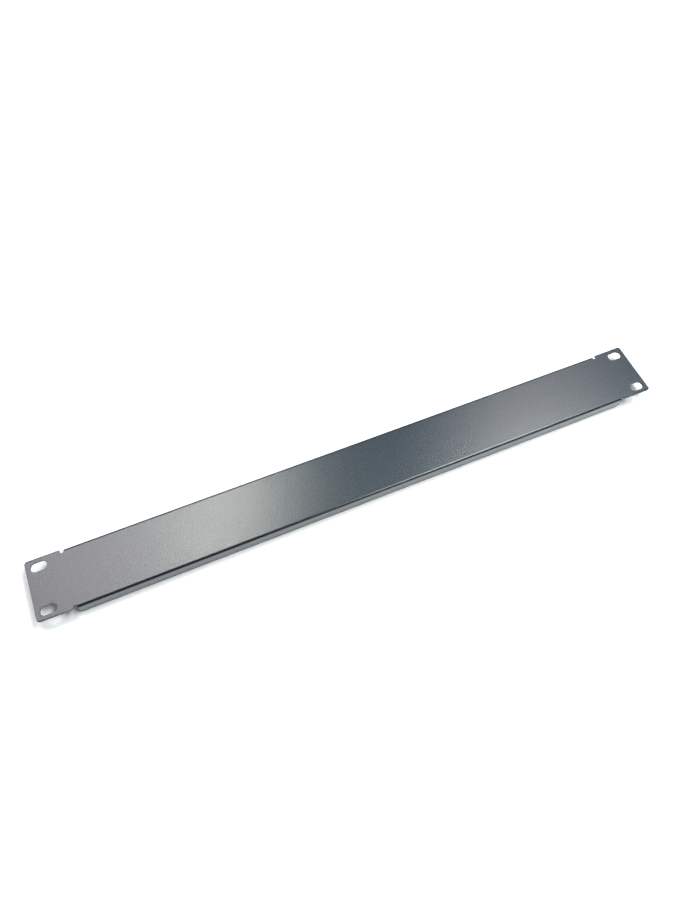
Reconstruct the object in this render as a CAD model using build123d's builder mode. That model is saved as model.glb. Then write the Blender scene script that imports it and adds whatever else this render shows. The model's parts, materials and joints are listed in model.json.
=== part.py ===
import os

from build123d import *

# One-unit blanking panel for a 19-inch equipment rack: one steel sheet, punched and then
# folded back along both long edges into a shallow channel, with a flat ear at each end.
# The origin is the middle of the four fixing slots, on the rear plane where the ears seat
# on the rack's rails. +X runs along the panel, +Y across it and +Z out of its front face.
# All sizes are in millimetres.

# The sheet and its overall size
sheet_thickness = 1.2
panel_length = 482.6
panel_height = 44.4
ear_corner_radius = 2.0

# Fixing slots, one near each corner, longer along the panel to take up the rails' tolerance.
# Their places inside the panel's ends and long edges give the rack's 465.1 by 31.75 pattern.
slot_to_end = 8.75
slot_to_edge = 6.325
slot_length = 11.0
slot_width = 6.5

# Folded flanges, which stop where the ears begin. Their depth is from the front face.
ear_length = 26.5
inner_bend_radius = 0.8
flange_depth = 10.3
flange_corner_radius = 2.8

# Relief notches, punched past both ends of each fold so that the sheet bends without tearing
relief_width = 2.4
relief_past_bend = 0.6
shoulder_radius = 0.6

# Places that follow from the sizes
slot_pitch_x = panel_length - 2 * slot_to_end
slot_pitch_y = panel_height - 2 * slot_to_edge
flange_length = panel_length - 2 * ear_length
outer_bend_radius = inner_bend_radius + sheet_thickness
edge_y = panel_height / 2
front_z = sheet_thickness
flange_edge_z = front_z - flange_depth
relief_x = (flange_length + relief_width) / 2
relief_depth = outer_bend_radius + relief_past_bend
relief_overrun = relief_width


with BuildPart() as blanking_panel:
    # The flat face and ears, without the strips along the long edges that go into the folds
    with BuildSketch() as flat_face:
        RectangleRounded(panel_length, panel_height, ear_corner_radius)
        with GridLocations(0, panel_height - outer_bend_radius, 1, 2):
            Rectangle(2 * relief_x, outer_bend_radius, mode=Mode.SUBTRACT)
        with GridLocations(slot_pitch_x, slot_pitch_y, 2, 2):
            SlotOverall(slot_length, slot_width, mode=Mode.SUBTRACT)
    extrude(amount=sheet_thickness)

    # The folded channel: the sheet's outer line round both bends, thickened inwards
    with BuildSketch(Plane.YZ) as channel_section:
        with BuildLine():
            FilletPolyline(
                (-edge_y, flange_edge_z),
                (-edge_y, front_z),
                (edge_y, front_z),
                (edge_y, flange_edge_z),
                radius=outer_bend_radius,
            )
            offset(amount=sheet_thickness, side=Side.RIGHT)
        make_face()
    extrude(amount=relief_x, both=True)

    # The round-bottomed relief notches run off the edge, and give the flanges their ends
    with BuildSketch() as reliefs:
        with GridLocations(2 * relief_x, panel_height + 2 * relief_overrun, 2, 2):
            SlotOverall(2 * (relief_depth + relief_overrun), relief_width, rotation=90)
    extrude(amount=flange_depth, both=True, mode=Mode.SUBTRACT)

    # The ears' shoulders beside the notches
    notch_edges = blanking_panel.edges(Select.LAST).filter_by(Axis.Z).group_by(Axis.Z)[-1]
    shoulders = notch_edges.sort_by(lambda edge: abs(edge.center().Y))[-4:]
    fillet(shoulders, shoulder_radius)

    # The free corners of both flanges
    flange_corners = blanking_panel.edges().filter_by(Axis.Y).group_by(Axis.Z)[0]
    fillet(flange_corners, flange_corner_radius)

blanking_panel.part.label = "blanking_panel"

os.makedirs("parts", exist_ok=True)
export_step(blanking_panel.part, "parts/blanking_panel.step")
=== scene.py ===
"""A rack blanking panel: one steel sheet, punched, folded and powder coated, on a white table."""

import json
import math
from typing import NamedTuple

import bpy
from bpy.props import FloatProperty, FloatVectorProperty, IntProperty, PointerProperty
from mathutils import Matrix, Quaternion, Vector


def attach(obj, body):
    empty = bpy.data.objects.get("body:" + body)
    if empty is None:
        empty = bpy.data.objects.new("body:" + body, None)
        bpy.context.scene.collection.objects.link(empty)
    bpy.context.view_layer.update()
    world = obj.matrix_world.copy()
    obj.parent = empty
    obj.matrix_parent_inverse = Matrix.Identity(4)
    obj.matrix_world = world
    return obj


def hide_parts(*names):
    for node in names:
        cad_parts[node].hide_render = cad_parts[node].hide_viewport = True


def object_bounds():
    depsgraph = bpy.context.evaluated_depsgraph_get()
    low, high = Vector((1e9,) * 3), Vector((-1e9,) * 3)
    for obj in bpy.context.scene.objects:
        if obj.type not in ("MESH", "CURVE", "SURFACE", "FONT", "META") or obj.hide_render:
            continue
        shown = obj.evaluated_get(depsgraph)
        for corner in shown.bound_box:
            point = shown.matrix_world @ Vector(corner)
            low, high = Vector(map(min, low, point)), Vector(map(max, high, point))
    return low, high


bl_info = {
    "name": "Rack Blanking Panel",
    "version": (1, 0, 0),
    "blender": (4, 5, 0),
    "location": "3D View > Sidebar > Blanking Panel",
    "description": "Makes a folded, powder coated blanking panel for an equipment rack",
    "category": "Object",
}

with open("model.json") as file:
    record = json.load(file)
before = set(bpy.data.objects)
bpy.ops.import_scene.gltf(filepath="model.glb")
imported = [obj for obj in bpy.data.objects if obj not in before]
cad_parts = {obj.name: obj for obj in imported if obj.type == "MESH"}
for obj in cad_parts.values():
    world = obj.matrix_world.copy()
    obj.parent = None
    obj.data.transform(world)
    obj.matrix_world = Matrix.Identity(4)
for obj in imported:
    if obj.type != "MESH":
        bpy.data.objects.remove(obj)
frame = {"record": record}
cad_low, cad_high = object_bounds()
MM = 0.001
SLOTS = next(m for m in frame["record"]["mounts"] if m["name"] == "rack_slots")["dims"]
NODE = "blanking_panel"

# Two corners rounded by just under half a width don't quite meet, so no point falls on another
NEARLY_HALF = 0.4999

# How near two points are joined: where two skins meet, and after the punch
SKIN_WELD = 0.001 * MM
PUNCH_WELD = 0.02 * MM


# Settings


def length(name, description, default):
    """A length in metres that a user can change."""
    return FloatProperty(
        name=name,
        description=description,
        default=default,
        min=0.0,
        precision=5,
        subtype="DISTANCE",
    )


def colour(name, description, default):
    """A linear colour that a user can change."""
    return FloatVectorProperty(
        name=name, description=description, default=default, min=0.0, max=1.0, subtype="COLOR"
    )


def share(name, description, default):
    """A number from 0 to 1 that a user can change."""
    return FloatProperty(name=name, description=description, default=default, min=0.0, max=1.0)


def steps(name, description, default, least):
    """A number of steps that a user can change."""
    return IntProperty(name=name, description=description, default=default, min=least)


def brightness(name, description, default):
    """A lamp's brightness, whatever its size, that a user can change."""
    return FloatProperty(name=name, description=description, default=default, min=0.0)


class SheetSizes(bpy.types.PropertyGroup):
    """Sizes of the punched and folded sheet"""

    panel_length: length("Panel length", "From end to end", cad_high.x - cad_low.x)
    panel_height: length("Panel height", "Across the face, over both folds", cad_high.y - cad_low.y)
    flange_depth: length("Flange depth", "From face to flange's edge", cad_high.z - cad_low.z)
    sheet_thickness: length("Sheet thickness", "Of the coated sheet", cad_high.z)
    slot_pitch_x: length("Slot pitch along", "From ear to ear", SLOTS["spacing_x_mm"] * MM)
    slot_pitch_y: length("Slot pitch across", "On one ear", SLOTS["spacing_y_mm"] * MM)
    slot_length: length("Slot length", "Of a slot, end to end", SLOTS["slot_length_mm"] * MM)
    slot_width: length("Slot width", "Of a fixing slot", 2 * SLOTS["hole_r_mm"] * MM)
    ear_length: length("Ear length", "From a flange's end to the panel's end", 26.5 * MM)
    ear_corner_radius: length("Ear corner radius", "Of the ears' outer corners", 2.0 * MM)
    shoulder_radius: length("Shoulder radius", "Of the ears' corners at the notches", 0.6 * MM)
    inner_bend_radius: length("Inner bend radius", "Of both folds, inside", 0.8 * MM)
    flange_corner_radius: length("Flange corner radius", "Of the flanges' free corners", 2.8 * MM)
    relief_width: length("Relief width", "Of the notches at the ends of the folds", 2.4 * MM)
    relief_past_bend: length("Relief past bend", "How far a notch reaches past the fold", 0.6 * MM)


class SheetMesh(bpy.types.PropertyGroup):
    """How finely the sheet is meshed and how far its edges are rounded"""

    bend_steps: steps("Bend steps", "Faces round each fold", 14, 2)
    arc_steps: steps("Arc steps", "Points on each rounded corner", 14, 2)
    edge_rounding: length("Edge rounding", "How far the coat rounds the punched edges", 0.16 * MM)
    edge_steps: steps("Edge steps", "Faces across each rounded edge", 3, 1)


class CoatFinish(bpy.types.PropertyGroup):
    """The powder coat"""

    coat_colour: colour("Coat colour", "Of the pigment", (0.0, 0.0, 0.005))
    speck_colour: colour("Speck colour", "Of the coat's fine paler specks", (0.016, 0.024, 0.038))
    roughness: share("Roughness", "Of the smoothest patches", 0.272)
    roughness_spread: share("Roughness spread", "How much rougher the dullest patches are", 0.01)
    gloss_index: FloatProperty(
        name="Gloss index", description="The coat's index of refraction", default=1.7, min=1.0
    )
    peel_size: length("Peel size", "From one orange-peel dimple to the next", 3.0 * MM)
    peel_height: length("Peel height", "Of the orange peel", 0.012 * MM)
    grain_size: length("Grain size", "Of the fine grain and its specks", 1.1 * MM)
    grain_height: length("Grain height", "Of the fine grain", 0.072 * MM)


class StudioSetup(bpy.types.PropertyGroup):
    """The table top, lamps and camera"""

    table_colour: colour("Table colour", "Of the plain table top", (0.88, 0.86, 0.865))
    table_exposure: share("Table exposure", "Added to its colour as the camera sees it", 0.25)
    mirrored_colour: colour("Mirrored colour", "Added to it in the gloss", (0.86, 0.91, 0.92))
    table_veil: share("Table veil", "Glare that lifts the shadows on the table", 0.06)
    room_colour: colour("Room colour", "Of the dim room beyond the lamps", (0.12, 0.12, 0.125))
    left_strip: brightness("Left strip", "The long lamp that the left of the face mirrors", 25.0)
    left_fill: brightness("Left fill", "The lamp further to the left", 5.8)
    right_strip: brightness("Right strip", "The long lamp that the right of the face mirrors", 14.2)
    back_fill: brightness("Back fill", "The dim lamp above the right strip and behind it", 3.3)
    ceiling: brightness("Ceiling", "The faint bluish light from high above", 0.50)
    lens: FloatProperty(name="Lens", description="Focal length of the camera, mm", default=27.82)


# Node helpers


class Graph:
    """A node tree, with short calls that add nodes and link them."""

    def __init__(self, tree):
        self.tree = tree

    def add(self, kind, **settings):
        """Adds a node and sets its own settings."""
        node = self.tree.nodes.new(kind)
        for name, value in settings.items():
            setattr(node, name, value)
        return node

    def feed(self, socket, value):
        """Links a socket to another node's output, or sets its plain value."""
        if isinstance(value, bpy.types.NodeSocket):
            self.tree.links.new(value, socket)
        else:
            socket.default_value = value

    def call(self, kind, inputs, output=0, **settings):
        """Adds a node, feeds its named inputs and returns one of its outputs."""
        node = self.add(kind, **settings)
        for name, value in inputs.items():
            self.feed(node.inputs[name], value)
        return node.outputs[output]

    def math(self, operation, *values):
        """A Math node's result."""
        return self.call("ShaderNodeMath", dict(enumerate(values)), operation=operation)

    def xyz(self, x=0.0, y=0.0, z=0.0):
        """A vector from its three parts."""
        return self.call("ShaderNodeCombineXYZ", {"X": x, "Y": y, "Z": z})

    def blend(self, share_of_second, first, second):
        """A colour between two others."""
        node = self.add("ShaderNodeMix", data_type="RGBA")
        sockets = {socket.identifier: socket for socket in (*node.inputs, *node.outputs)}
        self.feed(sockets["Factor_Float"], share_of_second)
        self.feed(sockets["A_Color"], first)
        self.feed(sockets["B_Color"], second)
        return sockets["Result_Color"]

    def choose(self, index, data_type, values):
        """One of several values, by index."""
        node = self.add("GeometryNodeIndexSwitch", data_type=data_type)
        while len(node.index_switch_items) < len(values):
            node.index_switch_items.new()
        self.feed(node.inputs["Index"], index)
        for number, value in enumerate(values):
            self.feed(node.inputs[str(number)], value)
        return node.outputs[0]


# The sheet's geometry


def new_sheet_tree(name):
    """A geometry tree with a named input for each size, a sheet going in and a sheet coming out."""
    tree = bpy.data.node_groups.new(name, "GeometryNodeTree")
    kinds = {"Sheet": "NodeSocketGeometry"}
    kinds.update({size: "NodeSocketFloat" for size in SheetSizes.__annotations__})
    kinds.update({"bend_steps": "NodeSocketInt", "arc_steps": "NodeSocketInt"})
    kinds["coat"] = "NodeSocketMaterial"
    for label, kind in kinds.items():
        tree.interface.new_socket(name=label, in_out="INPUT", socket_type=kind)
    tree.interface.new_socket(name="Sheet", in_out="OUTPUT", socket_type="NodeSocketGeometry")
    return tree


def bend_lines(graph, size):
    """Where the folds start, how long they are in the flat blank, and where the blank ends."""
    radius = graph.math("ADD", size["inner_bend_radius"], size["sheet_thickness"])
    half_height = graph.math("MULTIPLY", size["panel_height"], 0.5)
    half_length = graph.math("MULTIPLY", size["panel_length"], 0.5)
    flange_end = graph.math("SUBTRACT", half_length, size["ear_length"])
    line_y = graph.math("SUBTRACT", half_height, radius)
    bend_length = graph.math("MULTIPLY", radius, math.pi / 2)
    leg = graph.math("SUBTRACT", size["flange_depth"], radius)
    return {
        "radius": radius,
        "line_y": line_y,
        "length": bend_length,
        "blank_edge_y": graph.math("ADD", graph.math("ADD", line_y, bend_length), leg),
        "flange_end": flange_end,
        "ear_start": graph.math("MULTIPLY_ADD", size["relief_width"], 0.5, flange_end),
    }


def blank_outline(graph, size, bend):
    """The flat blank's outline: five rounded corners in each quarter, mirrored to the next."""
    corners_in_quarter = 5
    half_length = graph.math("MULTIPLY", size["panel_length"], 0.5)
    half_height = graph.math("MULTIPLY", size["panel_height"], 0.5)
    flange_end = bend["flange_end"]
    ear_start = graph.math("ADD", flange_end, size["relief_width"])
    relief_bottom = graph.math("SUBTRACT", bend["line_y"], size["relief_past_bend"])
    relief_radius = graph.math("MULTIPLY", size["relief_width"], NEARLY_HALF)
    index = graph.call("GeometryNodeInputIndex", {})
    quarter = graph.math("FLOOR", graph.math("DIVIDE", index, float(corners_in_quarter)))
    step = graph.math("SUBTRACT", index, graph.math("MULTIPLY", quarter, float(corners_in_quarter)))
    backwards = graph.math("MODULO", quarter, 2.0)
    last = corners_in_quarter - 1.0
    turned = graph.math("SUBTRACT", last, graph.math("MULTIPLY", step, 2.0))
    corner = graph.math("ADD", step, graph.math("MULTIPLY", backwards, turned))
    place = graph.choose(
        corner,
        "VECTOR",
        [
            graph.xyz(half_length, half_height),
            graph.xyz(ear_start, half_height),
            graph.xyz(ear_start, relief_bottom),
            graph.xyz(flange_end, relief_bottom),
            graph.xyz(flange_end, bend["blank_edge_y"]),
        ],
    )
    radius = graph.choose(
        corner,
        "FLOAT",
        [
            size["ear_corner_radius"],
            size["shoulder_radius"],
            relief_radius,
            relief_radius,
            size["flange_corner_radius"],
        ],
    )
    # Quarters 0 and 3 are on the right, and 0 and 1 on the far side
    halfway = 1.5
    from_halfway = graph.math("ABSOLUTE", graph.math("SUBTRACT", quarter, halfway))
    right = graph.math("COMPARE", from_halfway, halfway, 0.1)
    far = graph.math("LESS_THAN", quarter, halfway)
    sign_x = graph.math("MULTIPLY_ADD", right, 2.0, -1.0)
    sign_y = graph.math("MULTIPLY_ADD", far, 2.0, -1.0)
    signs = graph.xyz(sign_x, sign_y)
    signed = graph.call("ShaderNodeVectorMath", {0: place, 1: signs}, operation="MULTIPLY")
    points = graph.call("GeometryNodePoints", {"Count": 4 * corners_in_quarter, "Position": signed})
    curve = graph.call("GeometryNodePointsToCurves", {"Points": points})
    closed = graph.call("GeometryNodeSetSplineCyclic", {"Geometry": curve, "Cyclic": True})
    return graph.call(
        "GeometryNodeFilletCurve",
        {"Curve": closed, "Count": size["arc_steps"], "Radius": radius, "Limit Radius": True},
        mode="POLY",
    )


def slot_outlines(graph, size):
    """The four fixing slots: one round-ended outline, placed on a two by two grid of points."""
    oblong = graph.call(
        "GeometryNodeCurvePrimitiveQuadrilateral",
        {"Width": size["slot_length"], "Height": size["slot_width"]},
    )
    end_radius = graph.math("MULTIPLY", size["slot_width"], NEARLY_HALF)
    slot = graph.call(
        "GeometryNodeFilletCurve",
        {"Curve": oblong, "Count": size["arc_steps"], "Radius": end_radius, "Limit Radius": True},
        mode="POLY",
    )
    places = graph.call(
        "GeometryNodeMeshGrid",
        {
            "Size X": size["slot_pitch_x"],
            "Size Y": size["slot_pitch_y"],
            "Vertices X": 2,
            "Vertices Y": 2,
        },
    )
    placed = graph.call("GeometryNodeInstanceOnPoints", {"Points": places, "Instance": slot})
    return graph.call("GeometryNodeRealizeInstances", {"Geometry": placed})


def thicken(graph, flat, depth):
    """A closed solid between a flat mesh and its copy lower down by depth."""
    sunk = graph.add("GeometryNodeExtrudeMesh", mode="FACES")
    graph.feed(sunk.inputs["Mesh"], flat)
    graph.feed(sunk.inputs["Offset"], graph.xyz(0.0, 0.0, -1.0))
    graph.feed(sunk.inputs["Offset Scale"], depth)
    graph.feed(sunk.inputs["Individual"], False)
    lid = graph.call("GeometryNodeFlipFaces", {"Mesh": flat})
    joined = graph.add("GeometryNodeJoinGeometry")
    graph.feed(joined.inputs[0], sunk.outputs["Mesh"])
    graph.feed(joined.inputs[0], lid)
    merged = graph.call(
        "GeometryNodeMergeByDistance", {"Geometry": joined.outputs[0], "Distance": SKIN_WELD}
    )
    return graph.call("GeometryNodeFlipFaces", {"Mesh": merged})


def scored_slab(graph, size, bend):
    """A slab larger than the blank, scored with the lines that it bends along."""
    margin = 0.01
    # On each side a line starts the bend, one ends each of its steps, and one is the slab's edge
    rows = graph.math("ADD", graph.math("MULTIPLY", size["bend_steps"], 2.0), 4.0)
    grid = graph.call(
        "GeometryNodeMeshGrid",
        {
            "Size X": graph.math("ADD", size["panel_length"], margin),
            "Size Y": graph.math("SUBTRACT", rows, 1.0),
            "Vertices X": 2,
            "Vertices Y": rows,
        },
    )
    position = graph.call("GeometryNodeInputPosition", {})
    split = graph.add("ShaderNodeSeparateXYZ")
    graph.feed(split.inputs[0], position)
    row = graph.math("SUBTRACT", graph.math("ABSOLUTE", split.outputs["Y"]), 0.5)
    step = graph.math("DIVIDE", bend["length"], size["bend_steps"])
    in_bend = graph.math("MULTIPLY_ADD", row, step, bend["line_y"])
    outer = graph.math("GREATER_THAN", row, graph.math("ADD", size["bend_steps"], 0.5))
    reach = graph.math("SUBTRACT", graph.math("ADD", bend["blank_edge_y"], margin), in_bend)
    y = graph.math("MULTIPLY_ADD", outer, reach, in_bend)
    signed = graph.math("MULTIPLY", graph.math("SIGN", split.outputs["Y"]), y)
    scored = graph.call(
        "GeometryNodeSetPosition",
        {"Geometry": grid, "Position": graph.xyz(split.outputs["X"], signed, 0.0)},
    )
    return thicken(graph, scored, size["sheet_thickness"])


def fold(graph, size, bend, blank):
    """Bends both long edges of the flat blank back by a right angle, as a press brake does."""
    position = graph.call("GeometryNodeInputPosition", {})
    split = graph.add("ShaderNodeSeparateXYZ")
    graph.feed(split.inputs[0], position)
    x, y, z = split.outputs
    across = graph.math("ABSOLUTE", y)
    past = graph.math("MAXIMUM", graph.math("SUBTRACT", across, bend["line_y"]), 0.0)
    angle = graph.math("MINIMUM", graph.math("DIVIDE", past, bend["radius"]), math.pi / 2)
    straight = graph.math("MAXIMUM", graph.math("SUBTRACT", past, bend["length"]), 0.0)
    radius = graph.math("ADD", bend["radius"], z)
    flat_y = graph.math("MINIMUM", across, bend["line_y"])
    folded_y = graph.math("MULTIPLY_ADD", radius, graph.math("SINE", angle), flat_y)
    drop = graph.math("ADD", bend["radius"], straight)
    cosine = graph.math("COSINE", angle)
    lowered = graph.math("MULTIPLY_ADD", radius, cosine, size["sheet_thickness"])
    signed_y = graph.math("MULTIPLY", graph.math("SIGN", y), folded_y)
    place = graph.xyz(x, signed_y, graph.math("SUBTRACT", lowered, drop))
    is_ear = graph.math("GREATER_THAN", graph.math("ABSOLUTE", x), bend["ear_start"])
    ear_place = graph.xyz(x, y, graph.math("ADD", z, size["sheet_thickness"]))
    chosen = graph.call(
        "GeometryNodeSwitch",
        {"Switch": is_ear, "False": place, "True": ear_place},
        input_type="VECTOR",
    )
    return graph.call("GeometryNodeSetPosition", {"Geometry": blank, "Position": chosen})


def finish_tree(graph, sheet, coat):
    """Ends a tree: smooth shading, real geometry and the coat."""
    smooth = graph.call("GeometryNodeSetShadeSmooth", {"Geometry": sheet})
    realized = graph.call("GeometryNodeRealizeInstances", {"Geometry": smooth})
    coated = graph.call("GeometryNodeSetMaterial", {"Geometry": realized, "Material": coat})
    graph.feed(graph.add("NodeGroupOutput").inputs[0], coated)


def blank_tree():
    """The tree that punches the flat blank out of a sheet and scores its bend lines."""
    tree = new_sheet_tree("Punched blank")
    graph = Graph(tree)
    size = {socket.name: socket for socket in graph.add("NodeGroupInput").outputs if socket.name}
    bend = bend_lines(graph, size)
    outlines = graph.add("GeometryNodeJoinGeometry")
    graph.feed(outlines.inputs[0], blank_outline(graph, size, bend))
    graph.feed(outlines.inputs[0], slot_outlines(graph, size))
    filled = graph.call("GeometryNodeFillCurve", {"Curve": outlines.outputs[0]}, mode="NGONS")
    lifted = graph.call(
        "GeometryNodeTransform",
        {"Geometry": filled, "Translation": graph.xyz(0.0, 0.0, size["sheet_thickness"])},
    )
    # The punch stands out of the slab by the sheet's thickness above and below
    punch = thicken(graph, lifted, graph.math("MULTIPLY", size["sheet_thickness"], 3.0))
    blank = graph.add("GeometryNodeMeshBoolean", operation="INTERSECT", solver="EXACT")
    graph.feed(blank.inputs["Mesh 2"], scored_slab(graph, size, bend))
    graph.feed(blank.inputs["Mesh 2"], punch)
    merged = graph.call(
        "GeometryNodeMergeByDistance", {"Geometry": blank.outputs["Mesh"], "Distance": PUNCH_WELD}
    )
    finish_tree(graph, merged, size["coat"])
    return tree


def fold_tree():
    """The tree that folds the flat blank's two long edges back."""
    tree = new_sheet_tree("Fold")
    graph = Graph(tree)
    size = {socket.name: socket for socket in graph.add("NodeGroupInput").outputs if socket.name}
    folded = fold(graph, size, bend_lines(graph, size), size["Sheet"])
    finish_tree(graph, folded, size["coat"])
    return tree


# The coat


def relief_group():
    """A node group for a sprayed coat's relief: slow orange-peel waves under a fine grain, with
    specks where the grain stands highest and broad patches that differ in gloss."""
    tree = bpy.data.node_groups.new("Coat relief", "ShaderNodeTree")
    for label in ("Peel size", "Peel height", "Grain size", "Grain height"):
        tree.interface.new_socket(name=label, in_out="INPUT", socket_type="NodeSocketFloat")
    for label in ("Height", "Specks", "Patches"):
        tree.interface.new_socket(name=label, in_out="OUTPUT", socket_type="NodeSocketFloat")
    graph = Graph(tree)
    given = graph.add("NodeGroupInput").outputs
    place = graph.call("ShaderNodeTexCoord", {}, output="Object")

    def noise(size, detail):
        """Noise from 0 to 1 with waves of a given size."""
        scale = graph.math("DIVIDE", 1.0, size)
        return graph.call(
            "ShaderNodeTexNoise", {"Vector": place, "Scale": scale, "Detail": detail}, output="Fac"
        )

    peel = graph.math("MULTIPLY", noise(given["Peel size"], 1.0), given["Peel height"])
    grains = noise(given["Grain size"], 1.0)
    grain = graph.math("MULTIPLY", grains, given["Grain height"])
    speck_foot, speck_top = 0.42, 0.68
    specks = graph.call(
        "ShaderNodeMapRange",
        {"Value": grains, "From Min": speck_foot, "From Max": speck_top},
        output="Result",
    )
    peels_in_patch = 14.0
    patch_size = graph.math("MULTIPLY", given["Peel size"], peels_in_patch)
    out = graph.add("NodeGroupOutput").inputs
    graph.feed(out["Height"], graph.math("ADD", peel, grain))
    graph.feed(out["Specks"], specks)
    graph.feed(out["Patches"], noise(patch_size, 3.0))
    return tree


def coat_material(finish):
    """A satin powder coat, with its relief, its fine specks and its wandering roughness."""
    material = bpy.data.materials.new("satin_powder_coat")
    material.use_nodes = True
    graph = Graph(material.node_tree)
    shader = material.node_tree.nodes["Principled BSDF"]
    relief = graph.add("ShaderNodeGroup", node_tree=relief_group())
    for label in ("peel_size", "peel_height", "grain_size", "grain_height"):
        relief.inputs[label.replace("_", " ").capitalize()].default_value = getattr(finish, label)
    tint = graph.blend(
        relief.outputs["Specks"], (*finish.coat_colour, 1.0), (*finish.speck_colour, 1.0)
    )
    graph.feed(shader.inputs["Base Color"], tint)
    patches = relief.outputs["Patches"]
    wander = graph.math("MULTIPLY_ADD", patches, finish.roughness_spread, finish.roughness)
    graph.feed(shader.inputs["Roughness"], wander)
    bump = graph.add("ShaderNodeBump")
    bump.inputs["Distance"].default_value = 1.0
    graph.feed(bump.inputs["Height"], relief.outputs["Height"])
    graph.feed(shader.inputs["Normal"], bump.outputs["Normal"])
    shader.inputs["IOR"].default_value = finish.gloss_index
    return material


def add_tree(maker, tree, values):
    """Adds a geometry tree as a modifier and sets its inputs by their identifiers."""
    modifier = maker.modifiers.new(tree.name, "NODES")
    modifier.node_group = tree
    for item in tree.interface.items_tree:
        if item.in_out == "INPUT" and item.name in values:
            modifier[item.identifier] = values[item.name]


def folded_mesh(context):
    """The sheet's plain mesh: punched flat, rounded at its edges and then folded."""
    scene = context.scene
    sizes = scene.blanking_sizes
    fineness = scene.blanking_mesh
    maker = bpy.data.objects.new("sheet_maker", bpy.data.meshes.new("sheet_maker"))
    scene.collection.objects.link(maker)
    values = {name: getattr(sizes, name) for name in SheetSizes.__annotations__}
    values["bend_steps"] = fineness.bend_steps
    values["arc_steps"] = fineness.arc_steps
    values["coat"] = coat_material(scene.blanking_coat)
    add_tree(maker, blank_tree(), values)
    rounding = maker.modifiers.new("Coated edges", "BEVEL")
    rounding.width = fineness.edge_rounding
    rounding.segments = fineness.edge_steps
    rounding.limit_method = "ANGLE"
    rounding.angle_limit = math.radians(50)
    rounding.use_clamp_overlap = False
    add_tree(maker, fold_tree(), values)
    weighting = maker.modifiers.new("Flat faces stay flat", "WEIGHTED_NORMAL")
    weighting.weight = 90
    context.view_layer.update()
    evaluated = maker.evaluated_get(context.evaluated_depsgraph_get())
    mesh = bpy.data.meshes.new_from_object(evaluated)
    bpy.data.objects.remove(maker)
    return mesh


class BLANKING_OT_make_sheet(bpy.types.Operator):
    """Punch, fold and coat the panel's sheet"""

    bl_idname = "blanking.make_sheet"
    bl_label = "Make the sheet"

    def execute(self, context):
        mesh = folded_mesh(context)
        if not mesh.polygons:
            raise RuntimeError("the folded sheet came out empty")
        sheet = bpy.data.objects.new("folded_sheet", mesh)
        context.scene.collection.objects.link(sheet)
        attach(sheet, "root")
        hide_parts(NODE)
        return {"FINISHED"}


# The stage


def table_material(studio):
    """A white table top that looks overexposed to the camera and in the coat's gloss, as in the
    photograph, but lights the panel only as its own colour does, and keeps the panel's shadow.
    Away from the panel it fades to plain white, and from below it is clear, so the back shows."""
    material = bpy.data.materials.new("table_top")
    material.use_nodes = True
    graph = Graph(material.node_tree)
    shader = material.node_tree.nodes["Principled BSDF"]
    shader.inputs["Base Color"].default_value = (*studio.table_colour, 1.0)
    shader.inputs["Roughness"].default_value = 0.6
    shader.inputs["Specular IOR Level"].default_value = 0.0
    ray = graph.add("ShaderNodeLightPath").outputs
    mirrored = graph.math("MAXIMUM", ray["Is Glossy Ray"], ray["Is Transmission Ray"])
    seen = graph.math("MAXIMUM", ray["Is Camera Ray"], mirrored)
    exposure = graph.math("MULTIPLY", ray["Is Camera Ray"], studio.table_exposure)
    extra = graph.blend(mirrored, exposure, (*studio.mirrored_colour, 1.0))
    overexposed = graph.add("ShaderNodeBsdfDiffuse")
    graph.feed(overexposed.inputs["Color"], extra)
    both = graph.add("ShaderNodeAddShader")
    graph.feed(both.inputs[0], shader.outputs["BSDF"])
    graph.feed(both.inputs[1], overexposed.outputs["BSDF"])
    place = graph.call("ShaderNodeTexCoord", {}, output="Object")
    distance = graph.call("ShaderNodeVectorMath", {0: place}, output="Value", operation="LENGTH")
    fade_start, fade_end = 0.5, 1.1
    fade = graph.call(
        "ShaderNodeMapRange",
        {"Value": distance, "From Min": fade_start, "From Max": fade_end},
        output="Result",
    )
    veil = graph.math("ADD", fade, studio.table_veil)
    shader.inputs["Emission Color"].default_value = (1.0, 1.0, 1.0, 1.0)
    graph.feed(shader.inputs["Emission Strength"], graph.math("MULTIPLY", seen, veil))
    clear = graph.add("ShaderNodeBsdfTransparent")
    surface = graph.add("ShaderNodeMixShader")
    graph.feed(surface.inputs[0], graph.call("ShaderNodeNewGeometry", {}, output="Backfacing"))
    graph.feed(surface.inputs[1], both.outputs[0])
    graph.feed(surface.inputs[2], clear.outputs[0])
    graph.feed(material.node_tree.nodes["Material Output"].inputs["Surface"], surface.outputs[0])
    return material


def add_room(context, studio):
    """A dim room around the table, which is white only where the camera looks past the table."""
    world = bpy.data.worlds.new("room")
    context.scene.world = world
    world.use_nodes = True
    graph = Graph(world.node_tree)
    background = world.node_tree.nodes["Background"]
    ray = graph.add("ShaderNodeLightPath").outputs
    seen = graph.math("MAXIMUM", ray["Is Camera Ray"], ray["Is Transmission Ray"])
    tint = graph.blend(seen, (*studio.room_colour, 1.0), (1.0, 1.0, 1.0, 1.0))
    graph.feed(background.inputs["Color"], tint)


class Lamp(NamedTuple):
    """A soft rectangular lamp that faces straight down. Its place is measured from the panel's
    middle to the camera's right, away from the camera and up, and its turn is in degrees."""

    name: str
    place: tuple
    size: tuple
    tint: tuple
    turn: float = 0.0


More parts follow.
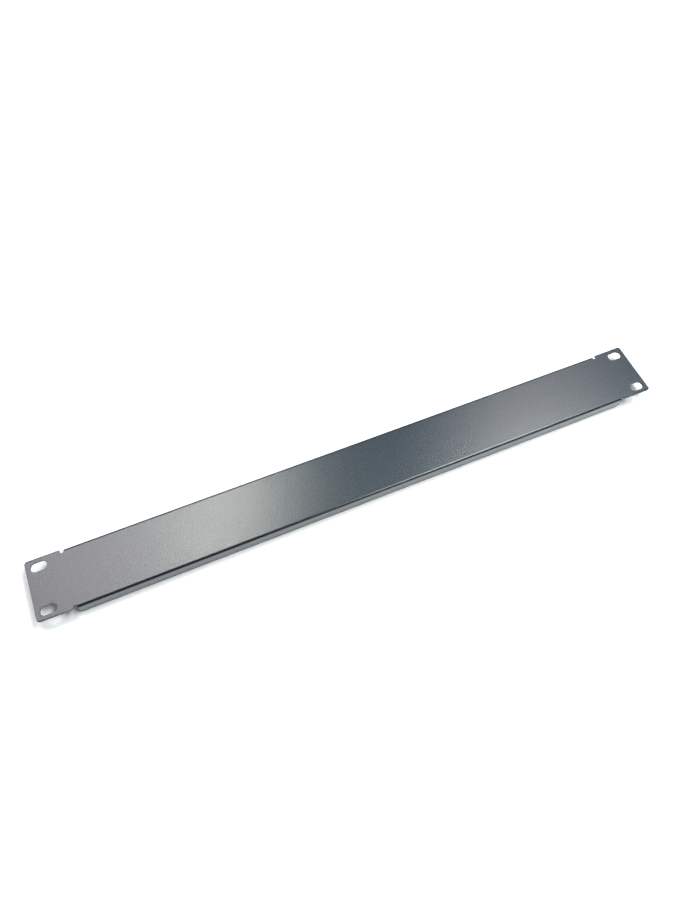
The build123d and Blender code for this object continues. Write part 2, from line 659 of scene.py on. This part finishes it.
# Each lamp hangs at a height of its own, so that no two share a plane
LAMPS = (
    Lamp(
        "left_strip",
        place=(-0.368, 0.587, 1.44),
        size=(0.155, 0.532),
        tint=(1.0, 0.99, 0.905),
        turn=-1.2,
    ),
    Lamp(
        "left_fill",
        place=(-0.783, 0.374, 1.46),
        size=(0.580, 0.670),
        tint=(1.0, 0.925, 0.92),
        turn=34.7,
    ),
    Lamp(
        "right_strip",
        place=(0.651, 0.205, 1.48),
        size=(0.410, 1.196),
        tint=(0.935, 1.0, 0.98),
        turn=3.7,
    ),
    Lamp(
        "back_fill",
        place=(0.586, 0.735, 1.50),
        size=(0.380, 1.565),
        tint=(1.0, 0.875, 0.87),
        turn=2.6,
    ),
    Lamp("ceiling", place=(0.30, 1.30, 2.30), size=(4.20, 2.20), tint=(0.0, 0.62, 1.0)),
)

# The direction on the table that the camera sees as left to right
VIEW_HEADING = math.radians(-26.5)


def add_lamp(context, lamp, strength):
    """Adds a lamp. Its power goes with its area, so its size doesn't change its brightness."""
    data = bpy.data.lights.new(lamp.name, "AREA")
    data.shape = "RECTANGLE"
    data.size, data.size_y = lamp.size
    data.color = lamp.tint
    data.energy = strength * math.pi * data.size * data.size_y
    fitting = bpy.data.objects.new(lamp.name, data)
    fitting.location = Matrix.Rotation(VIEW_HEADING, 3, "Z") @ Vector(lamp.place)
    fitting.rotation_euler = (0.0, 0.0, VIEW_HEADING + math.radians(lamp.turn))
    context.scene.collection.objects.link(fitting)


def add_camera(context, studio):
    """The photograph's camera: in front of the panel, to its left and high above it."""
    data = bpy.data.cameras.new("camera")
    data.lens = studio.lens
    camera = bpy.data.objects.new("camera", data)
    camera.location = (-0.1112, -0.2016, 0.4604)
    target = Vector((-0.0019, 0.0179, cad_high.z))
    roll = Quaternion((0.0, 0.0, 1.0), math.radians(3.68))
    aim = (target - camera.location).to_track_quat("-Z", "Y")
    camera.rotation_mode = "QUATERNION"
    camera.rotation_quaternion = aim @ roll
    context.scene.collection.objects.link(camera)
    context.scene.camera = camera


class BLANKING_OT_make_stage(bpy.types.Operator):
    """Set the table top, lamps, room and camera"""

    bl_idname = "blanking.make_stage"
    bl_label = "Make the stage"

    def execute(self, context):
        studio = context.scene.blanking_studio
        reach = 20.0
        top = cad_low.z
        sides = ((-reach, -reach), (reach, -reach), (reach, reach), (-reach, reach))
        mesh = bpy.data.meshes.new("table_top")
        mesh.from_pydata([(x, y, top) for x, y in sides], [], [(0, 1, 2, 3)])
        mesh.materials.append(table_material(studio))
        table = bpy.data.objects.new("table_top", mesh)
        context.scene.collection.objects.link(table)
        add_room(context, studio)
        for lamp in LAMPS:
            add_lamp(context, lamp, getattr(studio, lamp.name))
        add_camera(context, studio)
        context.scene.view_settings.view_transform = "Standard"
        return {"FINISHED"}


class BLANKING_PT_sidebar(bpy.types.Panel):
    """The panel's settings and the steps that make it"""

    bl_label = "Blanking Panel"
    bl_space_type = "VIEW_3D"
    bl_region_type = "UI"
    bl_category = "Blanking Panel"

    def draw(self, context):
        for pointer in POINTERS:
            box = self.layout.box()
            settings = getattr(context.scene, pointer)
            for name in type(settings).__annotations__:
                box.prop(settings, name)
        for step in STEPS:
            self.layout.operator(step.bl_idname)


POINTERS = {
    "blanking_sizes": SheetSizes,
    "blanking_mesh": SheetMesh,
    "blanking_coat": CoatFinish,
    "blanking_studio": StudioSetup,
}
STEPS = (BLANKING_OT_make_sheet, BLANKING_OT_make_stage)
CLASSES = (*POINTERS.values(), *STEPS, BLANKING_PT_sidebar)


def register():
    """Adds the settings, the steps and the sidebar panel to Blender."""
    for cls in CLASSES:
        bpy.utils.register_class(cls)
    for pointer, cls in POINTERS.items():
        setattr(bpy.types.Scene, pointer, PointerProperty(type=cls))


def unregister():
    """Takes them out again."""
    for pointer in POINTERS:
        delattr(bpy.types.Scene, pointer)
    for cls in reversed(CLASSES):
        bpy.utils.unregister_class(cls)


def main():
    """Makes the panel and its stage."""
    register()
    bpy.ops.blanking.make_sheet()
    bpy.ops.blanking.make_stage()


if __name__ == "__main__":
    main()
